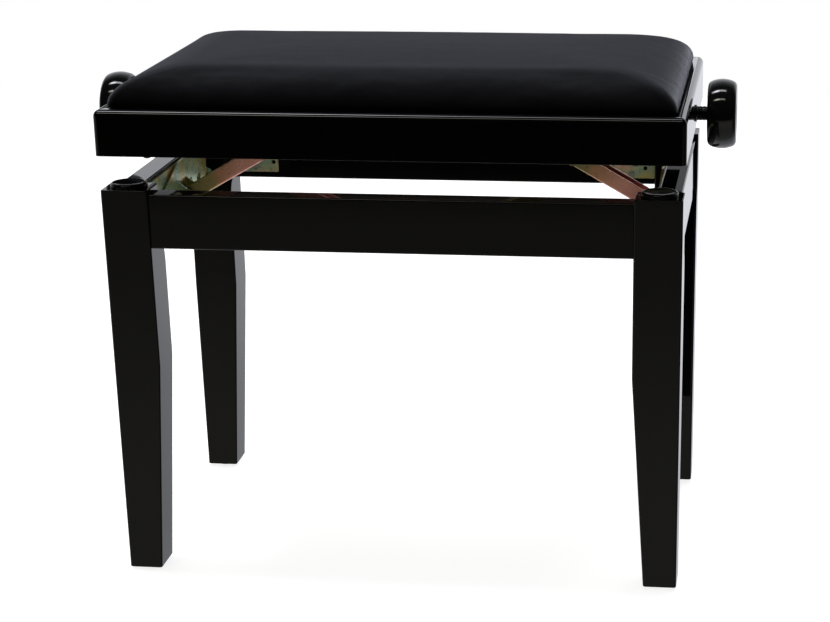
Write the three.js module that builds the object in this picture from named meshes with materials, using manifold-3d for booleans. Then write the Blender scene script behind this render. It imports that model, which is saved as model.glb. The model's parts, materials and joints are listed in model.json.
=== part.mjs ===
// Height-adjustable piano bench: lacquered leg frame, lacquered seat frame with a padded seat,
// and a screw-driven half-scissor lift on each side between them.
// Millimetres, +Z up, origin on the floor under the middle of the seat.
// +X runs along the seat, -Y is the front. The spindle runs along X and ends in two knobs.
import * as THREE from 'three';
import { mergeVertices } from 'three/addons/utils/BufferGeometryUtils.js';
import Module from 'manifold-3d';

const wasm = await Module();
wasm.setup();

// ---- driving dimensions ----
const GAP = 0.3;                    // clearance wherever two pieces meet

const seatLength = 555;             // seat frame, outside, along X
const seatDepth = 340;              // seat frame, outside, along Y
const seatBottom = 421;             // underside of the seat frame at the stored height
const ledgeHeight = 465;            // top ledge of the seat frame, round the cushion
const boardThick = 22;
const topRound = 6.7;               // roundover along the frame's top outer edge
const bottomRound = 2;
const cornerRound = 5;              // upright corners of the seat frame

const cushionLength = 536;
const cushionDepth = 317;
const cushionTop = 499;
const cushionCorner = 12;

const legSpanX = 550;               // over the outer faces of the legs, along X
const legSpanY = 338;
const legTop = 388.5;
const legWidth = 45.5;              // along X, upper part
const legDepth = 45;                // along Y, upper part
const legDepthAtApron = 36;
const footWidth = 32.5;
const footDepth = 38;
const footInsetX = 3;               // how far the outer faces lean in, top to floor
const footInsetY = 3;
const taperStart = 215;             // the inner faces taper below this height
const shoulderLow = 307;            // the leg is cut back above this shoulder, behind the apron
const shoulderHigh = 330;
const legEdge = 2.5;                // rounded upright edges of a leg

const apronTop = 384;
const apronBottom = 331.5;
const apronThick = 23;
const apronSetback = 3;             // behind the outer faces of the legs

const topEase = 1;                  // softened top edge of a leg
const shoulderSteps = 5;
const glideRadius = 12;
const glideHeight = 2.5;
const padRadius = 17.5;             // domed bumper on each leg top, where the seat frame comes to rest
const padHeight = 4.2;
const padRim = 1.2;

// lift geometry, left side; the right side is its mirror image
const spindleHeight = 437;          // axis of the spindle
const pivotX = 236;                 // base pivot and seat pivot, from the middle
const basePivotHeight = 347.4;
const armLength = 179.2;            // base pivot to nut pivot
const armRise = spindleHeight - basePivotHeight;
const armAngle = Math.asin(armRise / armLength);
const nutX = pivotX - armLength * Math.cos(armAngle);
const armHeight = 15;
const armWidth = 21;                // outside the flanges of the channel
const sheet = 2.5;                  // thickness of the bent steel pieces
const pinRadius = 4;
const pinClearance = 0.3;
const spindleRadius = 6;
const knobRadius = 34;
const knobRim = 9;                  // rounded edges of the knob
const knobDish = 1;                 // shallow recess in the middle of the knob's outer face
const knobInner = 289.6;            // where a knob starts, from the middle
const knobOuter = 317.8;

// ---- materials ----
const lacquer = new THREE.MeshStandardMaterial({ color: 0x050506, roughness: 0.06, metalness: 0 });
const velour = new THREE.MeshStandardMaterial({ color: 0x0c0c0e, roughness: 0.95, metalness: 0 });
const zinc = new THREE.MeshStandardMaterial({ color: 0xb59a5c, roughness: 0.35, metalness: 1 });
const brightSteel = new THREE.MeshStandardMaterial({ color: 0xb8b8b4, roughness: 0.3, metalness: 1 });
const gloss = new THREE.MeshStandardMaterial({ color: 0x060607, roughness: 0.1, metalness: 0 });
const darkPlastic = new THREE.MeshStandardMaterial({ color: 0x101012, roughness: 0.45, metalness: 0 });
const plywood = new THREE.MeshStandardMaterial({ color: 0x2a2622, roughness: 0.7, metalness: 0 });
const greyRubber = new THREE.MeshStandardMaterial({ color: 0x55565a, roughness: 0.6, metalness: 0 });

// ---- geometry helpers ----
function box(x0, x1, y0, y1, z0, z1) {
  const geometry = new THREE.BoxGeometry(x1 - x0, y1 - y0, z1 - z0);
  return geometry.translate((x0 + x1) / 2, (y0 + y1) / 2, (z0 + z1) / 2);
}

// A flat shape drawn in X and Z, standing between two values of Y.
function plateXZ(shape, y0, y1, segments = 8) {
  const settings = { depth: y1 - y0, bevelEnabled: false, curveSegments: segments };
  return new THREE.ExtrudeGeometry(shape, settings).rotateX(Math.PI / 2).translate(0, y1, 0);
}

// A flat shape drawn in Y and Z, standing between two values of X.
function plateYZ(shape, x0, x1, segments = 8) {
  const settings = { depth: x1 - x0, bevelEnabled: false, curveSegments: segments };
  const axes = new THREE.Matrix4().makeBasis(
    new THREE.Vector3(0, 1, 0), new THREE.Vector3(0, 0, 1), new THREE.Vector3(1, 0, 0));
  return new THREE.ExtrudeGeometry(shape, settings).applyMatrix4(axes).translate(x0, 0, 0);
}

function plateXY(shape, z0, z1, segments = 8) {
  const settings = { depth: z1 - z0, bevelEnabled: false, curveSegments: segments };
  return new THREE.ExtrudeGeometry(shape, settings).translate(0, 0, z0);
}

function polygon(points) {
  return new THREE.Shape(points.map(([a, b]) => new THREE.Vector2(a, b)));
}

function roundedRectangle(a0, a1, b0, b1, radius) {
  const shape = new THREE.Shape();
  shape.moveTo(a0 + radius, b0);
  shape.lineTo(a1 - radius, b0);
  shape.absarc(a1 - radius, b0 + radius, radius, -Math.PI / 2, 0);
  shape.lineTo(a1, b1 - radius);
  shape.absarc(a1 - radius, b1 - radius, radius, 0, Math.PI / 2);
  shape.lineTo(a0 + radius, b1);
  shape.absarc(a0 + radius, b1 - radius, radius, Math.PI / 2, Math.PI);
  shape.lineTo(a0, b0 + radius);
  shape.absarc(a0 + radius, b0 + radius, radius, Math.PI, Math.PI * 1.5);
  return shape;
}

// A bar with round ends, from (0, 0) to (length, 0).
function stadium(length, radius) {
  const shape = new THREE.Shape();
  shape.moveTo(0, -radius);
  shape.lineTo(length, -radius);
  shape.absarc(length, 0, radius, -Math.PI / 2, Math.PI / 2);
  shape.lineTo(0, radius);
  shape.absarc(0, 0, radius, Math.PI / 2, Math.PI * 1.5);
  return shape;
}

function cylinderX(radius, x0, x1, y, z, segments = 24) {
  const geometry = new THREE.CylinderGeometry(radius, radius, x1 - x0, segments);
  return geometry.rotateZ(Math.PI / 2).translate((x0 + x1) / 2, y, z);
}

function cylinderY(radius, y0, y1, x, z, segments = 20) {
  return new THREE.CylinderGeometry(radius, radius, y1 - y0, segments).translate(x, (y0 + y1) / 2, z);
}

// A closed skin over a stack of convex rings of equal point count.
function skin(rings) {
  const count = rings[0].length;
  const positions = rings.flat().flatMap((p) => [p.x, p.y, p.z]);
  const index = [];
  for (let r = 0; r + 1 < rings.length; r += 1) {
    for (let i = 0; i < count; i += 1) {
      const a = r * count + i;
      const b = r * count + ((i + 1) % count);
      index.push(a, b, b + count, a, b + count, a + count);
    }
  }
  const last = (rings.length - 1) * count;
  for (let i = 1; i + 1 < count; i += 1) {
    index.push(0, i + 1, i);
    index.push(last, last + i, last + i + 1);
  }
  const geometry = new THREE.BufferGeometry();
  geometry.setAttribute('position', new THREE.Float32BufferAttribute(positions, 3));
  geometry.setIndex(index);
  geometry.computeVertexNormals();
  return geometry;
}

function ringAt(z, x0, x1, y0, y1, radius, segments) {
  const outline = roundedRectangle(x0, x1, y0, y1, radius).getPoints(segments);
  const points = outline.filter((p, i) => i === 0 || p.distanceTo(outline[i - 1]) > 1e-6);
  if (points[0].distanceTo(points[points.length - 1]) < 1e-6) points.pop();
  return points.map((p) => new THREE.Vector3(p.x, p.y, z));
}

function solid(geometry) {
  const bare = geometry.clone();
  bare.deleteAttribute('normal');
  bare.deleteAttribute('uv');
  const merged = mergeVertices(bare, 1e-4);
  const mesh = new wasm.Mesh({
    numProp: 3,
    vertProperties: new Float32Array(merged.attributes.position.array),
    triVerts: new Uint32Array(merged.index.array),
  });
  return new wasm.Manifold(mesh);
}

function fromSolid(body) {
  const mesh = body.getMesh();
  const geometry = new THREE.BufferGeometry();
  geometry.setAttribute('position', new THREE.BufferAttribute(new Float32Array(mesh.vertProperties), 3));
  geometry.setIndex(new THREE.BufferAttribute(new Uint32Array(mesh.triVerts), 1));
  geometry.computeVertexNormals();
  return geometry;
}

function join(...geometries) {
  return fromSolid(geometries.map(solid).reduce((a, b) => a.add(b)));
}

function cut(geometry, ...tools) {
  return fromSolid(tools.map(solid).reduce((a, b) => a.subtract(b), solid(geometry)));
}

function mirrorX(geometry) {
  const copy = geometry.clone().applyMatrix4(new THREE.Matrix4().makeScale(-1, 1, 1));
  const source = copy.index ? copy : mergeVertices(copy, 1e-5);
  const flipped = Array.from(source.index.array);
  for (let i = 0; i < flipped.length; i += 3) {
    [flipped[i + 1], flipped[i + 2]] = [flipped[i + 2], flipped[i + 1]];
  }
  source.setIndex(flipped);
  source.computeVertexNormals();
  return source;
}

const bench = new THREE.Group();

function place(name, geometry, material, x = 0, y = 0, z = 0, parent = bench) {
  const mesh = new THREE.Mesh(geometry, material);
  mesh.name = name;
  mesh.position.set(x, y, z);
  parent.add(mesh);
  return mesh;
}

// Left pieces are drawn at negative X; the right piece is the left one mirrored.
function placePair(name, geometry, material) {
  place(`left_${name}`, geometry, material);
  place(`right_${name}`, mirrorX(geometry), material);
}

const corners = [
  ['front_left', -1, -1],
  ['front_right', 1, -1],
  ['rear_left', -1, 1],
  ['rear_right', 1, 1],
];

// ---- leg frame ----
// One leg in its own corner frame: x and y run inward from the outer faces of the leg top.
function legGeometry(sideX, sideY) {
  const rings = [];
  const addRing = (z, insetX, width, insetY, depth) => {
    const xs = [sideX * (legSpanX / 2 - insetX), sideX * (legSpanX / 2 - insetX - width)];
    const ys = [sideY * (legSpanY / 2 - insetY), sideY * (legSpanY / 2 - insetY - depth)];
    rings.push(ringAt(z, Math.min(...xs), Math.max(...xs), Math.min(...ys), Math.max(...ys), legEdge, 3));
  };
  const base = glideHeight + GAP;
  const lean = (z) => 1 - z / legTop;
  const straight = (z, depth) => addRing(z, footInsetX * lean(z), legWidth, footInsetY * lean(z), depth);
  addRing(base, footInsetX, footWidth, footInsetY, footDepth);
  straight(taperStart, legDepth);
  straight(shoulderLow, legDepth);
  for (let i = 1; i <= shoulderSteps; i += 1) {
    const turn = (i / shoulderSteps) * Math.PI / 2;
    const z = shoulderLow + (shoulderHigh - shoulderLow) * Math.sin(turn);
    straight(z, legDepthAtApron + (legDepth - legDepthAtApron) * Math.cos(turn));
  }
  straight(legTop - topEase, legDepthAtApron);
  addRing(legTop, topEase, legWidth - 2 * topEase, topEase, legDepthAtApron - 2 * topEase);
  return skin(rings);
}

function domedPad(radius, height, rim) {
  const profile = [
    new THREE.Vector2(0, 0),
    new THREE.Vector2(radius, 0),
    new THREE.Vector2(radius, height - rim),
    new THREE.Vector2(radius - rim, height - rim * 0.3),
    new THREE.Vector2(radius * 0.5, height),
    new THREE.Vector2(0, height),
  ];
  return new THREE.LatheGeometry(profile, 24).rotateX(Math.PI / 2);
}

const legGroup = new THREE.Group();
bench.add(legGroup);

for (const [corner, sideX, sideY] of corners) {
  place(`${corner}_leg`, legGeometry(sideX, sideY), lacquer, 0, 0, 0, legGroup);
  const topX = sideX * (legSpanX - legWidth) / 2;
  const topY = sideY * (legSpanY - legDepthAtApron) / 2;
  place(`${corner}_leg_pad`, domedPad(padRadius, padHeight, padRim), darkPlastic,
    topX, topY, legTop + GAP, legGroup);
  const footX = sideX * (legSpanX / 2 - footInsetX - footWidth / 2);
  const footY = sideY * (legSpanY / 2 - footInsetY - footDepth / 2);
  const glide = new THREE.CylinderGeometry(glideRadius, glideRadius, glideHeight, 24).rotateX(Math.PI / 2);
  place(`${corner}_foot_glide`, glide, darkPlastic, footX, footY, glideHeight / 2, legGroup);
}

const apronHalfX = legSpanX / 2 - apronSetback;
const apronHalfY = legSpanY / 2 - apronSetback;
const leanAtApron = 1 - apronBottom / legTop;
const longApronEnd = legSpanX / 2 - footInsetX * leanAtApron - legWidth - GAP;
const sideApronEnd = legSpanY / 2 - footInsetY * leanAtApron - legDepthAtApron - GAP;
const apronEase = 1.5;

for (const [name, side] of [['front_apron', -1], ['rear_apron', 1]]) {
  const faces = [side * apronHalfY, side * (apronHalfY - apronThick)].sort((a, b) => a - b);
  const section = roundedRectangle(faces[0], faces[1], apronBottom, apronTop, apronEase);
  place(name, plateYZ(section, -longApronEnd, longApronEnd, 2), lacquer, 0, 0, 0, legGroup);
}
for (const [name, side] of [['left_apron', -1], ['right_apron', 1]]) {
  const faces = [side * apronHalfX, side * (apronHalfX - apronThick)].sort((a, b) => a - b);
  const section = roundedRectangle(faces[0], faces[1], apronBottom, apronTop, apronEase);
  place(name, plateXZ(section, -sideApronEnd, sideApronEnd, 2), lacquer, 0, 0, 0, legGroup);
}

// ---- lower half of the lift, fixed to the aprons ----
const sideApronInner = apronHalfX - apronThick;
const longApronInner = apronHalfY - apronThick;
const backingHalf = 98;             // backing strip of a base bracket, half its length along Y
const backingThick = 1.3;
const gussetHalf = 110;
const gussetPeak = 381;
const gussetPeakHalf = 14;
const gussetFoot = 341;
const gussetToe = 6;                // upright edge at each end of the gusset
const lugInner = armWidth / 2 + 2.8;
const lugOuter = lugInner + sheet;
const lugRadius = 7.5;
const boreReach = 40;               // cutting length of a bore, to either side of the middle
const slotHalf = 4;
const stripTop = apronTop - 4;
const stripCorner = 3;
const weld = 0.1;                   // how far the gusset sinks into the backing strip
const lugRoot = 2;                  // how far a lug starts from the back of the strip
const gussetSlots = [                // distance from the middle, height, radius
  [28, 353, 3.4],
  [60, 350.5, 3.4],
  [92, 347, 2.4],
];

// A hole, or with a half length a slot, in a flat shape.
function hole(along, up, radius, half = 0) {
  const path = new THREE.Path();
  path.absarc(along + half, up, radius, Math.PI / 2, -Math.PI / 2, true);
  path.absarc(along - half, up, radius, -Math.PI / 2, -Math.PI * 1.5, true);
  return path;
}

function baseBracket() {
  const back = -sideApronInner + GAP;
  const front = back + backingThick + sheet;
  const strip = roundedRectangle(-backingHalf, backingHalf, gussetFoot, stripTop, stripCorner);
  const gusset = polygon([
    [-gussetHalf, gussetFoot], [gussetHalf, gussetFoot], [gussetHalf, gussetFoot + gussetToe],
    [gussetPeakHalf, gussetPeak], [-gussetPeakHalf, gussetPeak], [-gussetHalf, gussetFoot + gussetToe],
  ]);
  for (const side of [-1, 1]) {
    for (const [along, up, radius] of gussetSlots) {
      gusset.holes.push(hole(side * along, up, radius, slotHalf));
    }
  }
  const lug = new THREE.Shape();
  lug.moveTo(back + lugRoot, basePivotHeight - lugRadius);
  lug.lineTo(-pivotX, basePivotHeight - lugRadius);
  lug.absarc(-pivotX, basePivotHeight, lugRadius, -Math.PI / 2, Math.PI / 2);
  lug.lineTo(back + lugRoot, basePivotHeight + 2 * lugRadius);
  const body = join(
    plateYZ(strip, back, back + backingThick + weld, 3),
    plateYZ(gusset, back + backingThick, front, 6),
    plateXZ(lug, lugInner, lugOuter, 6),
    plateXZ(lug, -lugOuter, -lugInner, 6));
  return cut(body, cylinderY(pinRadius + pinClearance, -boreReach, boreReach, -pivotX, basePivotHeight));
}
placePair('base_bracket', baseBracket(), zinc);

const pinHeadRadius = 6;
const pinHeadThick = 2;
const pinHeadSink = 1;              // how far a pin runs into its own head

// Headed pin through both lugs, on which the arm turns.
function basePin() {
  const start = lugOuter + GAP;
  const end = start + pinHeadThick;
  return join(
    cylinderY(pinRadius, -start - pinHeadSink, start + pinHeadSink, -pivotX, basePivotHeight),
    cylinderY(pinHeadRadius, start, end, -pivotX, basePivotHeight),
    cylinderY(pinHeadRadius, -end, -start, -pivotX, basePivotHeight));
}
placePair('base_pin', basePin(), brightSteel);

const tieInnerEnd = 179;            // from the middle
const tieBottom = 338.5;
const tieTop = 377;
const tieCorner = 1.5;
const tieHoles = [                  // distance from the middle, height, radius
  [204, 343.5, 3.2],
  [219, 349.5, 2.2],
  [184, 349.5, 2.2],
  [195, 369, 3.2],
];

// Tie plates screwed to the inside of the front and rear aprons, next to the legs.
function tiePlate(side) {
  const outline = roundedRectangle(-longApronEnd, -tieInnerEnd, tieBottom, tieTop, tieCorner);
  for (const [out, up, radius] of tieHoles) {
    outline.holes.push(hole(-out, up, radius));
  }
  const face = longApronInner - GAP;
  return side > 0 ? plateXZ(outline, face - sheet, face, 6) : plateXZ(outline, -face, -face + sheet, 6);
}
placePair('front_tie_plate', tiePlate(-1), zinc);
placePair('rear_tie_plate', tiePlate(1), zinc);

// ---- seat frame: four mitred boards ----
// Section of a board: a runs inward from its outer face, b is the height.
function boardSection() {
  const shape = new THREE.Shape();
  shape.moveTo(bottomRound, seatBottom);
  shape.lineTo(boardThick, seatBottom);
  shape.lineTo(boardThick, ledgeHeight);
  shape.lineTo(topRound, ledgeHeight);
  shape.absarc(topRound, ledgeHeight - topRound, topRound, Math.PI / 2, Math.PI);
  shape.lineTo(0, seatBottom + bottomRound);
  shape.absarc(bottomRound, seatBottom + bottomRound, bottomRound, Math.PI, Math.PI * 1.5);
  const points = shape.getPoints(6);
  const kept = points.filter((p, i) => i === 0 || p.distanceTo(points[i - 1]) > 1e-6);
  if (kept[0].distanceTo(kept[kept.length - 1]) < 1e-6) kept.pop();
  return kept;
}

const mitreGap = GAP / 2 * Math.SQRT2;
const seatOutline = roundedRectangle(
  -seatLength / 2, seatLength / 2, -seatDepth / 2, seatDepth / 2, cornerRound);
const blockReach = 5;
const seatBlock = plateXY(seatOutline, seatBottom - blockReach, ledgeHeight + blockReach, 5);

// half is half the board's outer length, out is the distance of its outer face from the middle.
function mitredBoard(half, out, turn) {
  const section = boardSection();
  const ends = [-1, 1].map((end) => section.map((p) => {
    const along = end * (half - p.x - mitreGap);
    return new THREE.Vector3(along, -out + p.x, p.y);
  }));
  const board = skin(ends).rotateZ(turn);
  return fromSolid(solid(board).intersect(solid(seatBlock)));
}

const spindleHoleRoom = 1.5;
const spindleHole = cylinderX(spindleRadius + spindleHoleRoom, -seatLength, seatLength, 0, spindleHeight);
const halfLength = seatLength / 2;
const halfDepth = seatDepth / 2;
place('front_board', mitredBoard(halfLength, halfDepth, 0), lacquer);
place('rear_board', mitredBoard(halfLength, halfDepth, Math.PI), lacquer);
place('left_board', cut(mitredBoard(halfDepth, halfLength, -Math.PI / 2), spindleHole), lacquer);
place('right_board', cut(mitredBoard(halfDepth, halfLength, Math.PI / 2), spindleHole), lacquer);

const panelThick = 12.7;
const panelTop = ledgeHeight - GAP;
const panelBottom = panelTop - panelThick;
const panelRoom = 0.4;              // between the panel's edges and the boards
const panelX = halfLength - boardThick - panelRoom;
const panelY = halfDepth - boardThick - panelRoom;
place('seat_panel', box(-panelX, panelX, -panelY, panelY, panelBottom, panelTop), plywood);

// Part of the cushion's height, and how far its sides have drawn in there.
const cushionLevels = [
  [0, 1.5], [0.12, 0], [0.45, 0.8], [0.66, 4], [0.8, 9], [0.9, 17], [0.97, 32], [1, 60],
];

// Padded cushion: plain crowned solid, smaller towards the top.
function cushionGeometry() {
  const base = ledgeHeight + GAP;
  const height = cushionTop - base;
  return skin(cushionLevels.map(([up, inset]) => ringAt(base + up * height,
    -cushionLength / 2 + inset, cushionLength / 2 - inset,
    -cushionDepth / 2 + inset, cushionDepth / 2 - inset, cushionCorner, 5)));
}
place('seat_cushion', cushionGeometry(), velour);

// ---- upper half of the lift, fixed to the seat ----
const linkRoom = 1;                 // between an arm and its links
const earRoom = 1.5;                // between a link and the ear outside it
const linkInner = armWidth / 2 + linkRoom;
const linkOuter = linkInner + sheet;
const earInner = linkOuter + earRoom;
const earOuter = earInner + sheet;
const earRadius = 10;
const seatPlateOuter = 252;          // ends of the plate under the seat panel, from the middle
const seatPlateInner = 200;
const seatPlateHalf = 42;

function seatBracket() {
  const top = panelBottom - GAP;
  const plate = box(-seatPlateOuter, -seatPlateInner, -seatPlateHalf, seatPlateHalf, top - sheet, top);
  const ear = () => {
    const shape = new THREE.Shape();
    shape.moveTo(-pivotX - earRadius, top - 1);
    shape.absarc(-pivotX, spindleHeight, earRadius, Math.PI, Math.PI * 2);
    shape.lineTo(-pivotX + earRadius, top - 1);
    return shape;
  };
  const rear = plateXZ(ear(), earInner, earOuter, 6);
  const fore = plateXZ(ear(), -earOuter, -earInner, 6);
  const bore = cylinderY(pinRadius + pinClearance, -boreReach, boreReach, -pivotX, spindleHeight);
  return cut(join(plate, rear, fore), bore);
}
placePair('seat_bracket', seatBracket(), zinc);

// Short headed pins: the spindle runs between them, so each ear has its own.
function seatPin(side) {
  const inner = armWidth / 2 + 2 * GAP;
  const start = earOuter + GAP;
  const reach = [side * inner, side * (start + pinHeadSink)].sort((a, b) => a - b);
  const head = [side * start, side * (start + pinHeadThick)].sort((a, b) => a - b);
  return join(
    cylinderY(pinRadius, reach[0], reach[1], -pivotX, spindleHeight),
    cylinderY(pinHeadRadius, head[0], head[1], -pivotX, spindleHeight));
}
placePair('front_seat_pin', seatPin(-1), brightSteel);
placePair('rear_seat_pin', seatPin(1), brightSteel);

const boardInner = halfLength - boardThick;
const bearingHalf = 19;             // half the width of a bearing plate
const bearingBottom = seatBottom + 3;
const bearingTop = panelBottom - 1;
const bearingCorner = 4;
const bearingPlate = roundedRectangle(-bearingHalf, bearingHalf, bearingBottom, bearingTop, bearingCorner);
bearingPlate.holes.push(hole(0, spindleHeight, spindleRadius + pinClearance));
placePair('bearing_plate', plateYZ(bearingPlate, -boardInner + GAP, -boardInner + GAP + sheet, 8), zinc);

function ringX(outer, inner, x0, x1) {
  return cut(cylinderX(outer, x0, x1, 0, spindleHeight),
    cylinderX(inner, x0 - 5, x1 + 5, 0, spindleHeight));
}
const spindleBore = spindleRadius + pinClearance;
const escutcheonRadius = 10;
const escutcheonThick = 1;
const escutcheonOut = halfLength + GAP + escutcheonThick;
placePair('escutcheon', ringX(escutcheonRadius, spindleBore, -escutcheonOut, -halfLength - GAP), darkPlastic);

const bumperRadius = 4;
const bumperDrop = 2.8;
const bumperX = 230;
const bumperY = 159;
for (const [corner, sideX, sideY] of corners) {
  const dome = domedPad(bumperRadius, bumperDrop, padRim).rotateX(Math.PI);
  place(`${corner}_frame_bumper`, dome, greyRubber, sideX * bumperX, sideY * bumperY, seatBottom - GAP);
}

// ---- spindle ----
const spindleEnd = 305;
place('spindle_rod', cylinderX(spindleRadius, -spindleEnd, spindleEnd, 0, spindleHeight), brightSteel);
const sleeveRadius = 7;
placePair('spindle_sleeve', ringX(sleeveRadius, spindleBore, -knobInner + GAP, -escutcheonOut - GAP), gloss);

function knobGeometry() {
  const width = knobOuter - knobInner;
  const boreDepth = spindleEnd - knobInner + 2 * GAP;
  const hubRadius = 14;
  const dishRadius = 12;
  const profile = [new THREE.Vector2(0, boreDepth), new THREE.Vector2(spindleBore, boreDepth)];
  profile.push(new THREE.Vector2(spindleBore, 0), new THREE.Vector2(hubRadius, 0));
  const arcSteps = 5;
  const addArc = (radius, height, from, to) => {
    for (let i = 0; i <= arcSteps; i += 1) {
      const turn = from + (to - from) * i / arcSteps;
      profile.push(new THREE.Vector2(radius + knobRim * Math.cos(turn), height + knobRim * Math.sin(turn)));
    }
  };
  addArc(knobRadius - knobRim, knobRim, -Math.PI / 2, 0);
  addArc(knobRadius - knobRim, width - knobRim, 0, Math.PI / 2);
  profile.push(new THREE.Vector2(dishRadius, width - knobDish), new THREE.Vector2(0, width - knobDish));
  return new THREE.LatheGeometry(profile, 28).rotateZ(Math.PI / 2).translate(-knobInner, 0, spindleHeight);
}
placePair('knob', knobGeometry(), gloss);

// ---- nuts, arms and links ----
const nutHalf = 12;                 // along the spindle
const nutSide = 7.6;                // across, between the flanges of the arm
const nutRise = 9;
const nutBlock = cut(
  box(-nutX - nutHalf, -nutX + nutHalf, -nutSide, nutSide, spindleHeight - nutRise, spindleHeight + nutRise),
  cylinderX(spindleBore, -nutX - boreReach, -nutX + boreReach, 0, spindleHeight));
placePair('nut', nutBlock, brightSteel);

const webStart = 13;                // the web stops short of both pivots
const webStop = 30;
const rivetSink = 1;                // how far a rivet head runs into its plate
const rivetRise = 2;
const nutRivetRadius = 5;
const linkRivetRadius = 5.5;

// Open-topped channel from the base pivot at (0, 0) to the nut pivot at (armLength, 0).
function armGeometry() {
  const half = armHeight / 2;
  const flange = () => {
    const shape = stadium(armLength, half);
    shape.holes.push(hole(0, 0, pinRadius + pinClearance));
    return shape;
  };
  const out = armWidth / 2;
  const rear = plateXZ(flange(), out - sheet, out, 8);
  const fore = plateXZ(flange(), -out, -out + sheet, 8);
  const web = box(webStart, armLength - webStop, -out, out, -half, -half + sheet);
  const headRear = cylinderY(nutRivetRadius, out - rivetSink, out + rivetRise, armLength, 0, 16);
  const headFore = cylinderY(nutRivetRadius, -out - rivetRise, -out + rivetSink, armLength, 0, 16);
  const lying = join(rear, fore, web, headRear, headFore);
  return lying.rotateY(-armAngle).translate(-pivotX, 0, basePivotHeight);
}
placePair('arm', armGeometry(), zinc);

// Flat half-length link from the seat pivot down to the middle of the arm.
function linkGeometry(side) {
  const shape = stadium(armLength / 2, armHeight / 2);
  shape.holes.push(hole(0, 0, pinRadius + pinClearance));
  const faces = [side * linkInner, side * linkOuter].sort((a, b) => a - b);
  const head = [side * (linkOuter - rivetSink), side * (linkOuter + rivetRise)].sort((a, b) => a - b);
  const lying = join(
    plateXZ(shape, faces[0], faces[1], 8),
    cylinderY(linkRivetRadius, head[0], head[1], armLength / 2, 0, 16));
  return lying.rotateY(armAngle).translate(-pivotX, 0, spindleHeight);
}
placePair('front_link', linkGeometry(-1), zinc);
placePair('rear_link', linkGeometry(1), zinc);

export default bench;
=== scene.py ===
"""Height-adjustable piano bench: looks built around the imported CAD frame. Metres, +Z up."""
import json
import math

import bmesh
import bpy
from mathutils import Matrix, Vector, kdtree


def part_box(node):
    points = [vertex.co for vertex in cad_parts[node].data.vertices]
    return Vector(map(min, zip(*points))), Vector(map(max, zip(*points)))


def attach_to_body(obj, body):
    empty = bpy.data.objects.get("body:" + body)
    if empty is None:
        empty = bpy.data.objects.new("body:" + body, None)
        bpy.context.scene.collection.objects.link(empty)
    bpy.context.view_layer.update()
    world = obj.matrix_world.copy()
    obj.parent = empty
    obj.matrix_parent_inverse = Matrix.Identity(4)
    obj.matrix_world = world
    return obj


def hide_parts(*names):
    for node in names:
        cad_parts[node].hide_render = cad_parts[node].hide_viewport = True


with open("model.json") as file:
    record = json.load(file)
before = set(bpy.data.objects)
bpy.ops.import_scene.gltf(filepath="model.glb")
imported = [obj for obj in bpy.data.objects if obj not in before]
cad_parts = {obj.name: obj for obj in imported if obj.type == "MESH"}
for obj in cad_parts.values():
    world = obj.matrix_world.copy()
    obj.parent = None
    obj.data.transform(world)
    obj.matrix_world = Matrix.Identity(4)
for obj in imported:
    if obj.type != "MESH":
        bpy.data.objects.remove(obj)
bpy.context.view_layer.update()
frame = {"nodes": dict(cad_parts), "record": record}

MM = 0.001
BEDDED = 0.2 * MM        # how far a piece runs into the one it sits on
WELD = 1e-6              # corners nearer than this are one corner
SIDES = {"left": -1, "right": 1}
CORNERS = {"front_left": (-1, -1), "front_right": (1, -1), "rear_left": (-1, 1), "rear_right": (1, 1)}


# ---------------------------------------------------------------- camera
CAMERA = {"place": (0.3681, -2.0506, 0.8385), "yaw": 6.890, "pitch": 17.095, "roll": -0.521,
          "sensor": 36, "lens": 91.584, "shift_x": -0.14908, "shift_y": 0.03051, "clip_start": 0.05}


def make_camera():
    yaw, pitch, roll = (math.radians(CAMERA[angle]) for angle in ("yaw", "pitch", "roll"))
    forward_level = Vector((-math.sin(yaw), math.cos(yaw), 0))
    right_level = Vector((math.cos(yaw), math.sin(yaw), 0))
    forward = math.cos(pitch) * forward_level - math.sin(pitch) * Vector((0, 0, 1))
    up_level = math.sin(pitch) * forward_level + math.cos(pitch) * Vector((0, 0, 1))
    right = math.cos(roll) * right_level + math.sin(roll) * up_level
    up = -math.sin(roll) * right_level + math.cos(roll) * up_level
    data = bpy.data.cameras.new("camera")
    data.sensor_width = CAMERA["sensor"]
    data.lens = CAMERA["lens"]
    data.shift_x = CAMERA["shift_x"]
    data.shift_y = CAMERA["shift_y"]
    data.clip_start = CAMERA["clip_start"]
    camera = bpy.data.objects.new("camera", data)
    turn = Matrix((right, up, -forward)).transposed().to_4x4()
    camera.matrix_world = Matrix.Translation(CAMERA["place"]) @ turn
    bpy.context.scene.collection.objects.link(camera)
    bpy.context.scene.camera = camera


# ---------------------------------------------------------------- materials
def new_material(name):
    """A material with its node lists, its shader and the piece's own coordinates."""
    material = bpy.data.materials.new(name)
    material.use_nodes = True
    nodes = material.node_tree.nodes
    links = material.node_tree.links
    shader = nodes["Principled BSDF"]
    coords = nodes.new("ShaderNodeTexCoord")
    return material, nodes, links, shader, coords.outputs["Object"]


def noise(nodes, links, coords, scale, detail=3.0, roughness=0.5, stretch=(1, 1, 1), offset=(0, 0, 0)):
    """Noise of the given scale, in cycles per metre, stretched and shifted."""
    mapping = nodes.new("ShaderNodeMapping")
    mapping.inputs["Scale"].default_value = stretch
    mapping.inputs["Location"].default_value = offset
    links.new(coords, mapping.inputs["Vector"])
    texture = nodes.new("ShaderNodeTexNoise")
    texture.inputs["Scale"].default_value = scale
    texture.inputs["Detail"].default_value = detail
    texture.inputs["Roughness"].default_value = roughness
    links.new(mapping.outputs["Vector"], texture.inputs["Vector"])
    return texture.outputs["Fac"]


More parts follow.
